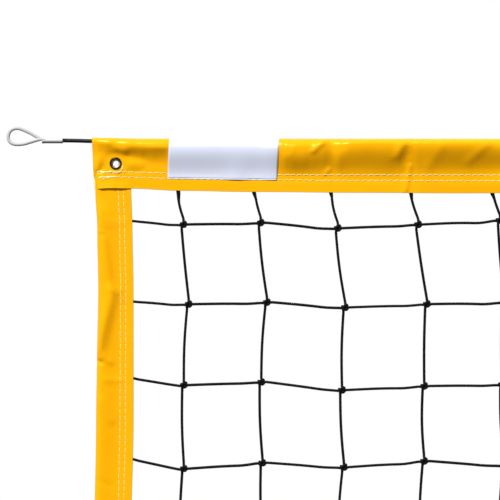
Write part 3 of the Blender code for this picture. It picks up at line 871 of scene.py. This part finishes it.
def label_patch(head, sheet):
    """The bare patch, folded over the hem's top and stiffer than the vinyl below it."""
    low, high = box("label_patch")
    start, width = low[0] - TAPE_LEFT, high[0] - low[0]
    drop = HEAD_TOP - low[2]
    across = np.linspace(0, 1, 56)
    over = np.array([3.2, 2.0, 1.0, 0.4]) * MM
    down = np.concatenate([[0.0], drops_to(drop, 34, ())[1:]])
    down = np.append(down[:-1], down[-1] - np.array([1.2, 0.8, 0.4, 0.0]) * MM)

    def side_at(share, d):
        return start + LABEL_ASIDE + width * share + LABEL_SKEW * d / drop

    back = head.point(side_at(across[:, None], -over[None, :]), over[None, :], BACK, LABEL_LIFT)
    stretch = 1 + 0.01 * across[:, None]
    d = down[None, :] * stretch
    u = side_at(across[:, None], d)
    vinyl = head.half(u, d, FRONT)
    gape = LABEL_GAPE * np.exp(-(((across[:, None] - LABEL_GAPE_PLACE) / LABEL_GAPE_WIDTH) ** 2))
    edge = head.half(u[:, -1:], d[:, -1:], FRONT) + gape
    fold = LABEL_HALF * np.sqrt(np.clip(1 - (1 - np.minimum(d / LABEL_DROP, 1)) ** 2, 0, 1))
    share = np.clip((d - LABEL_DROP) / (d[:, -1:] - LABEL_DROP), 0, 1)
    fall = LABEL_HALF + (edge - LABEL_HALF) * (1 - np.cos(np.pi * share)) / 2
    own = np.where(d < LABEL_DROP, fold, fall)
    rise = smoothstep(across[:, None] * 5 - 4) * (1 - 0.7 * share)
    own += LABEL_RISE * rise * smoothstep(d / LABEL_DROP)
    curl = LABEL_CURL * smoothstep(1 - (d[:, -1:] - d) / LABEL_CURL_WIDTH)
    front = head.point(u, d, FRONT, np.maximum(own - vinyl, LABEL_LIFT) + curl)
    grid = np.concatenate([front[:, ::-1], back[:, ::-1]], axis=1)
    patch = add_grid("label_sheet", grid, sheet)
    thicken(patch, LABEL_WALL, inward=False)
    return patch


# ---------------------------------------------------------------- net cords


def knot_places():
    """Centre of each knot as an array [column, row] of (x, z)."""
    places = np.zeros((COLUMNS + 1, ROWS + 1, 2))
    for i in range(COLUMNS + 1):
        for j in range(ROWS + 1):
            right, up = rng.normal(6.0 if j % 2 == 0 else 0.5, 2.0), rng.normal(-1.0, 2.4)
            right, up = KNOTS.get((i, j), (right, up))
            places[i, j] = MESH_LEFT + i * PITCH_X + right * MM, MESH_TOP - j * PITCH_Z + up * MM
    return places


def knot_loop(loop, place):
    """A knot's loop at a place, a little unlike its neighbours."""
    size = rng.uniform(1.08, 1.2)
    points = np.array(loop)
    points[1:-1] *= size
    return points * MM + (place[0], 0, place[1])


def knot_core(place):
    """The strands pressed together inside a knot, between its loops."""
    points = [(-3.0, 0.5, -1.6), (-1.0, 0.0, -0.6), (1.0, 0.0, 0.6), (3.0, -0.5, 1.6)]
    return np.array(points) * MM + (place[0], 0, place[1]), np.array([1.2, 2.3, 2.3, 1.2]) * MM, 6


def span(start, end, bow, low, steps):
    """The points between two knots: bow swings it sideways, low lets it sag near its end."""
    share = (np.arange(1, steps) / steps)[:, None]
    start, end = np.array(start), np.array(end)
    swing = np.sin(np.pi * share) * np.array(bow) * MM
    sag = share**5 * (1 - share) * SPAN_PEAK * np.array(low) * MM
    return start + (end - start) * share + swing + sag


def upright_cord(i, places, near):
    shift = TOP_SHIFTS[i - 1] if i <= len(TOP_SHIFTS) else rng.normal(-6, 3)
    x, below = MESH_LEFT + i * PITCH_X + (shift + 0.5) * MM, HEAD_LIP - 3 * MM
    lean = (places[i, 1][0] - x) / (below - places[i, 1][1])
    points = [(x - lean * (z - below), 0, z) for z in (MESH_TOP, HEAD_LIP + 12 * MM, below)]
    for j in range(1, ROWS):
        loop = knot_loop(UPRIGHT_LOOP, places[i, j])
        bow = (rng.normal(-0.9, 0.5), rng.normal(0, 0.6), 0)
        steps = NEAR_SPAN if near else FAR_SPAN
        points += [*span(points[-1], loop[0], bow, (0, 0, 0), steps), *loop]
    foot = places[i, ROWS][0]
    points += [(foot, 0, FOOT_LIP + 6 * MM), (foot, 0, MESH_BOTTOM)]
    return points


def level_cord(j, places, near):
    z = MESH_TOP - j * PITCH_Z
    rise = SIDE_SHIFTS[j - 1] if j <= len(SIDE_SHIFTS) else rng.normal(2.5, 1.5)
    lip = TAPE_LEFT + SIDE_WIDTH
    points = [(MESH_LEFT + 4 * MM, 0, z + rise * MM), (lip, 0, z + (rise + 0.4) * MM)]
    for i in range(1, COLUMNS):
        loop = knot_loop(LEVEL_LOOP, places[i, j])
        low = (0, 0, rng.normal(-0.8, 0.4))
        bow = (0, rng.normal(0, 0.6), 0)
        steps = NEAR_SPAN if near else FAR_SPAN
        points += [*span(points[-1], loop[0], bow, low, steps), *loop]
    end_z = points[-1][2]
    return points + [(TAPE_RIGHT - SIDE_WIDTH, 0, end_z), (MESH_RIGHT - 4 * MM, 0, end_z + 1 * MM)]


def selvage_strand(above, below):
    """A second strand just under the head tape's lip, beside the one from above to below."""
    side = rng.choice([-1, 1])
    points = []
    for z, aside in STRAND_ROUTE:
        share = (above[2] - HEAD_LIP - z * MM) / (above[2] - below[2])
        x = above[0] + (below[0] - above[0]) * share
        points.append((x + side * aside * MM, (0.1 + 0.2 * aside) * MM, HEAD_LIP + z * MM))
    return spline(points, 3), np.linspace(1.0, 0.6, 10) * CORD_RADIUS, 6


def net_cords(finish):
    places = knot_places()
    upright, level = [], []
    for i in range(1, COLUMNS):
        near = i <= NEAR_COLUMNS
        points = upright_cord(i, places, near)
        path = spline(points, 3) if near else np.array(points)
        upright.append((path, CORD_RADIUS, NEAR_SIDES if near else FAR_SIDES))
        upright.append(selvage_strand(points[1], points[2]))
    near_points = 2 + (NEAR_COLUMNS + 1) * (len(LEVEL_LOOP) + NEAR_SPAN - 1)
    for j in range(1, ROWS):
        near = j <= NEAR_ROWS
        points = level_cord(j, places, near)
        if near:
            level.append((spline(points[:near_points], 3), CORD_RADIUS, NEAR_SIDES))
            points = points[near_points - 1 :]
        level.append((np.array(points), CORD_RADIUS, FAR_SIDES))
    level += [knot_core(places[i, j]) for i in range(1, COLUMNS) for j in range(1, ROWS)]
    down = np.linspace(0, MESH_TOP - MESH_BOTTOM, 60)
    aside = 0.6 * side_drift(down, 1)
    x = np.linspace(MESH_LEFT, MESH_RIGHT, 180)
    edges = [(MESH_LEFT + aside, MESH_TOP - down), (MESH_RIGHT - aside, MESH_TOP - down)]
    edges += [(x, MESH_TOP - HEM_DROOP + 0 * x), (x, MESH_BOTTOM + 0 * x)]
    border = [(np.stack([x, 0 * x, z], axis=1), CORD_RADIUS, NEAR_SIDES) for x, z in edges]
    tubes = {"upright_cords": upright, "level_cords": level, "border_cords": border}
    return [add_tubes(name, made, finish) for name, made in tubes.items()]


# ---------------------------------------------------------------- cable and its ends


def at_end(side, points):
    """Left-end points, or the same places at the right end."""
    points = np.array(points, float)
    if side == "right":
        points[:, 0] = TAPE_LEFT + TAPE_RIGHT - points[:, 0]
    return points


def head_cable(finish):
    """The sheathed cable, bare in each crimp, which settles a little inside the hem."""
    butt = sleeve_high[0] + GAP
    x = np.concatenate([[cable_left, butt - 0.1 * MM], np.linspace(butt, TAPE_LEFT + CABLE_SETTLE, 14)])
    share = (x - butt) / (x[-1] - butt)
    left = np.stack([x, 0 * x, -HEM_DROOP * smoothstep(2 * share)], axis=1)
    right = at_end("right", left)[::-1]
    middle = [(m, 0, -HEM_DROOP) for m in np.linspace(left[-1][0], right[0][0], 90)[1:-1]]
    points = np.vstack([left, middle, right])
    radii = np.full(len(points), CABLE_RADIUS)
    radii[[0, 1, -2, -1]] = CORE_RADIUS
    return add_tubes("sheathed_cable", [(points, radii, 24)], finish)


def cable_end(side, coat, sleeve_finish):
    route = spline(EYE_ROUTE, 4) * MM
    radii = EYE_RADIUS - EYE_SQUEEZE * smoothstep((route[:, 0] - sleeve_low[0]) / (7 * MM) + 1)
    eye = add_tubes(side + "_eye_wire", [(at_end(side, route), radii, 16)], coat)

    height, depth = (sleeve_high - sleeve_low)[[2, 1]] / 2
    length = sleeve_high[0] - sleeve_low[0]
    angle = 2 * np.pi * np.arange(SLEEVE_SIDES) / SLEEVE_SIDES
    rings = []
    for share, size in SLEEVE_OUTLINE:
        x = np.full(SLEEVE_SIDES, sleeve_low[0] + length * share)
        rings.append(np.stack([x, size * depth * np.sin(angle), size * height * np.cos(angle)], axis=1))
    grid = np.array(rings)
    inner = grid[::-1].copy()
    inner[..., 1:] *= SLEEVE_BORE
    grid = np.concatenate([grid, inner, grid[:1]])
    grid = np.concatenate([grid, grid[:, :1]], axis=1)
    grid = at_end(side, grid.reshape(-1, 3)).reshape(grid.shape)
    if side == "right":
        grid = grid[:, ::-1]
    tube = add_grid(side + "_shrink_sleeve", grid, sleeve_finish)
    tube.modifiers.new("join", "WELD").merge_threshold = 0.01 * MM
    return eye, tube


def foot_line(finish):
    """The foot cord, with a stop knot wound round it past each end of the foot tape."""
    low, high = box("foot_cord")
    z = (low[2] + high[2]) / 2
    turn_from, turn_to = TAPE_LEFT - STOP_NEAR, TAPE_LEFT - STOP_FAR
    angle = np.linspace(0, 2 * np.pi * STOP_TURNS, round(STOP_TURNS * 18))
    share = angle / angle[-1]
    x = turn_to + (turn_from - turn_to) * share
    around, up = STOP_WRAP_RADIUS * np.sin(angle), -STOP_WRAP_RADIUS * np.cos(angle)
    winding = np.stack([x, around, z + up], axis=1)
    turn_back = np.array(STOP_TURN) * MM + (turn_to, 0, z)
    tail = np.array(STOP_TAIL) * MM + (turn_from, 0, z)
    start = [(TAPE_LEFT - 4 * MM, 0, z), (turn_from, 0, z), (turn_to, 0, z)]
    knot = np.vstack([start, turn_back, winding[2:], tail])
    tubes = []
    for side in ("left", "right"):
        tubes.append((at_end(side, spline(knot, 2)), FOOT_CORD_RADIUS, 10))
    run = [(x, 0, z) for x in np.linspace(TAPE_LEFT - 4 * MM, TAPE_RIGHT + 4 * MM, 120)]
    tubes.append((np.array(run), FOOT_CORD_RADIUS, 10))
    return add_tubes("foot_line", tubes, finish)


# ---------------------------------------------------------------- grommets


def grommet_pieces(corner, finish):
    """An eyelet with a domed flange and a rolled rear rim, and the washer under that rim."""
    flange_low, flange_high = box(corner + "_eyelet")
    washer_low, washer_high = box(corner + "_washer")
    x, z = eyelet_centre(corner)
    outer = (flange_high[0] - flange_low[0]) / 2
    seat = washer_low[1]  # the flange lies as far in front as the washer lies behind
    front, rear = -flange_low[1] + DOME_RISE, -washer_high[1] - 0.1 * MM
    crown = BORE_RADIUS + 0.30 * (outer - BORE_RADIUS)
    rim = outer - crown
    profile = []
    for angle in np.linspace(math.pi, math.pi / 2, 7):
        radius = crown + (crown - BORE_RADIUS) * math.cos(angle)
        profile.append((radius, front - ROLL_HEIGHT * (1 - math.sin(angle))))
    for angle in np.linspace(0, math.pi / 2, 9)[1:]:
        height = (front - seat) * math.cos(angle) ** 0.8
        profile.append((crown + rim * math.sin(angle), seat + height))
    profile += [(BARREL_RADIUS, seat), (BARREL_RADIUS, rear)]
    mid = (BORE_RADIUS + BARREL_RADIUS + 1.2 * MM) / 2
    for angle in np.linspace(0, math.pi, 9):
        radius = mid + (mid - BORE_RADIUS) * math.cos(angle)
        profile.append((radius, rear - ROLL_HEIGHT * math.sin(angle)))
    eyelet = add_turned(corner + "_eyelet_fine", profile[::-1], finish)
    near, far = -washer_low[1], -washer_high[1]
    inner, bevel = BARREL_RADIUS + 0.2 * MM, near - 0.35 * (near - far)
    disc = [(inner, near), (outer, near), (outer, bevel), (outer - 0.5 * MM, far), (inner, far)]
    washer = add_turned(corner + "_washer_fine", disc, finish)
    for piece in (eyelet, washer):
        piece.location = (x, 0, z)
    return eyelet, washer


# ---------------------------------------------------------------- stage


def camera():
    data = bpy.data.cameras.new("camera")
    data.lens, data.sensor_width = LENS, SENSOR
    data.clip_end = 100
    eye = link("camera", data)
    eye.location = (VIEW_CENTRE[0], -FRAME_PIXELS * PIXEL * LENS / SENSOR, VIEW_CENTRE[1])
    eye.rotation_euler = (math.pi / 2, 0, 0)
    bpy.context.scene.camera = eye


def sun(name, strength, elevation, azimuth):
    """A soft lamp; azimuth 0 shines from the front and 90 from the right."""
    data = bpy.data.lights.new(name, "SUN")
    data.energy = strength
    data.angle = SUN_ANGLE
    lamp = link(name, data)
    lamp.rotation_euler = (math.radians(90 - elevation), 0, math.radians(azimuth))


def world():
    """White behind the net and in its reflections, and a low even light on it."""
    made = bpy.data.worlds.new("world")
    bpy.context.scene.world = made
    tree = Nodes(made)
    path = tree.add("LightPath").outputs
    seen = tree.math("MAXIMUM", path["Is Camera Ray"], path["Is Glossy Ray"])
    seen = tree.math("MAXIMUM", seen, path["Is Transmission Ray"])
    strength = tree.spread(seen, AMBIENT, 1.0)
    tree.fill(tree.nodes["Background"], Color=(1, 1, 1, 1), Strength=strength)


def floor():
    """A pale floor, which throws little light back at the net."""
    x = np.linspace(-1.5, 10.3, 5)
    y = np.linspace(-3.0, 3.0, 3)
    z = cad_bounds[0][2] - FLOOR_DROP
    grid = np.stack(np.broadcast_arrays(x[:, None], y[None, :], z), axis=-1)
    tree = Surface("floor")
    path = tree.add("LightPath").outputs
    colour = tree.ramp(path["Is Camera Ray"], [(0, (0.12, 0.12, 0.12)), (1, (0.8, 0.8, 0.8))])
    tree.finish(colour, 8, 0.8, 0.9, Specular_IOR_Level=0.1)
    add_grid("floor", grid, tree.made)


# ---------------------------------------------------------------- the net put together


def place(piece, body, slot, *nodes):
    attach(piece, body)
    if nodes:
        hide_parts(*nodes)
    return piece


camera()
world()
sun("key", KEY_STRENGTH, KEY_ELEVATION, KEY_AZIMUTH)
sun("back", BACK_STRENGTH, BACK_ELEVATION, BACK_AZIMUTH)
floor()

vinyl = vinyl_material("yellow_vinyl", (0.97, 0.44, 0.002), (0.95, 0.425, 0.0015))
backing = vinyl_material("vinyl_backing", (0.92, 0.78, 0.42), (0.88, 0.70, 0.30))
cord = cord_material()
thread = thread_material()
sheath = sheath_material()
coat = coat_material("clear_coat", (0.61, 0.62, 0.63), (0.44, 0.45, 0.47), 260)
sleeve_coat = sleeve_painted_shade_material()
nickel = nickel_painted_light_material()
aluminium = metal_material("pressed_aluminium", (0.7, 0.7, 0.7), (0.5, 0.5, 0.5), 0.28, 0.42)
white_sheet = label_material()

head = head_tape_shape()
foot = foot_tape_shape()
sides = {side: side_tape_shape(side) for side in ("left", "right")}

stations = stations_along(TAPE_LENGTH, NEAR_LENGTH, 2.5 * MM, 15 * MM, FINE_END)
head_piece = head.build("head_tape_vinyl", stations, 30, 18, (vinyl, backing))
stations = stations_along(TAPE_LENGTH, FINE_END, 3 * MM, 15 * MM, FINE_END)
foot_piece = foot.build("foot_tape_vinyl", stations, 20, 16, (vinyl, backing))
place(head_piece, "net", "vinyl", "head_tape")
place(foot_piece, "net", "vinyl", "foot_tape")
for side, tape in sides.items():
    steps = SIDE_LENGTH / (2.5 * MM if side == "left" else 6 * MM)
    stations = np.linspace(0, SIDE_LENGTH, round(steps) + 1)
    piece = tape.build(side + "_side_vinyl", stations, 22, 14, (vinyl, backing))
    place(piece, "net", "vinyl", side + "_side_tape")

patch = place(label_patch(head, white_sheet), "net", "label", "label_patch")
reach = (ROW_MARGIN, TAPE_LENGTH - ROW_MARGIN)
sewn = stitches("head_stitches", head, reach, NEAR_LENGTH, thread, tacks=15, loose=LOOSE_THREADS)
place(sewn, "net", "thread")
place(stitches("foot_stitches", foot, reach, 0, thread), "net", "thread")
for side, tape in sides.items():
    reach = (SIDE_ROW_START, SIDE_LENGTH - SIDE_ROW_SPARE)
    near_to = reach[1] if side == "left" else 0
    sewn = stitches(side + "_side_stitches", tape, reach, near_to, thread, SIDE_THREAD_RADIUS)
    place(sewn, "net", "thread")
for piece in net_cords(cord):
    place(piece, "net", "cord", "net_mesh")

place(head_cable(sheath), "cable", "sheath", "head_cable")
for side in ("left", "right"):
    eye, tube = cable_end(side, coat, sleeve_coat)
    place(eye, "post_ends", "coat", side + "_eye")
    place(tube, "post_ends", "coat", side + "_sleeve")
    ferrule = frame["nodes"][side + "_ferrule"]
    ferrule.data.materials.clear()
    ferrule.data.materials.append(aluminium)
place(foot_line(cord), "foot_line", "cord", "foot_cord")
for corner in ("top_left", "top_right", "bottom_left", "bottom_right"):
    eyelet, washer = grommet_pieces(corner, nickel)
    place(eyelet, "net", "nickel", corner + "_eyelet")
    place(washer, "net", "nickel", corner + "_washer")

bpy.context.scene.view_settings.view_transform = "Standard"
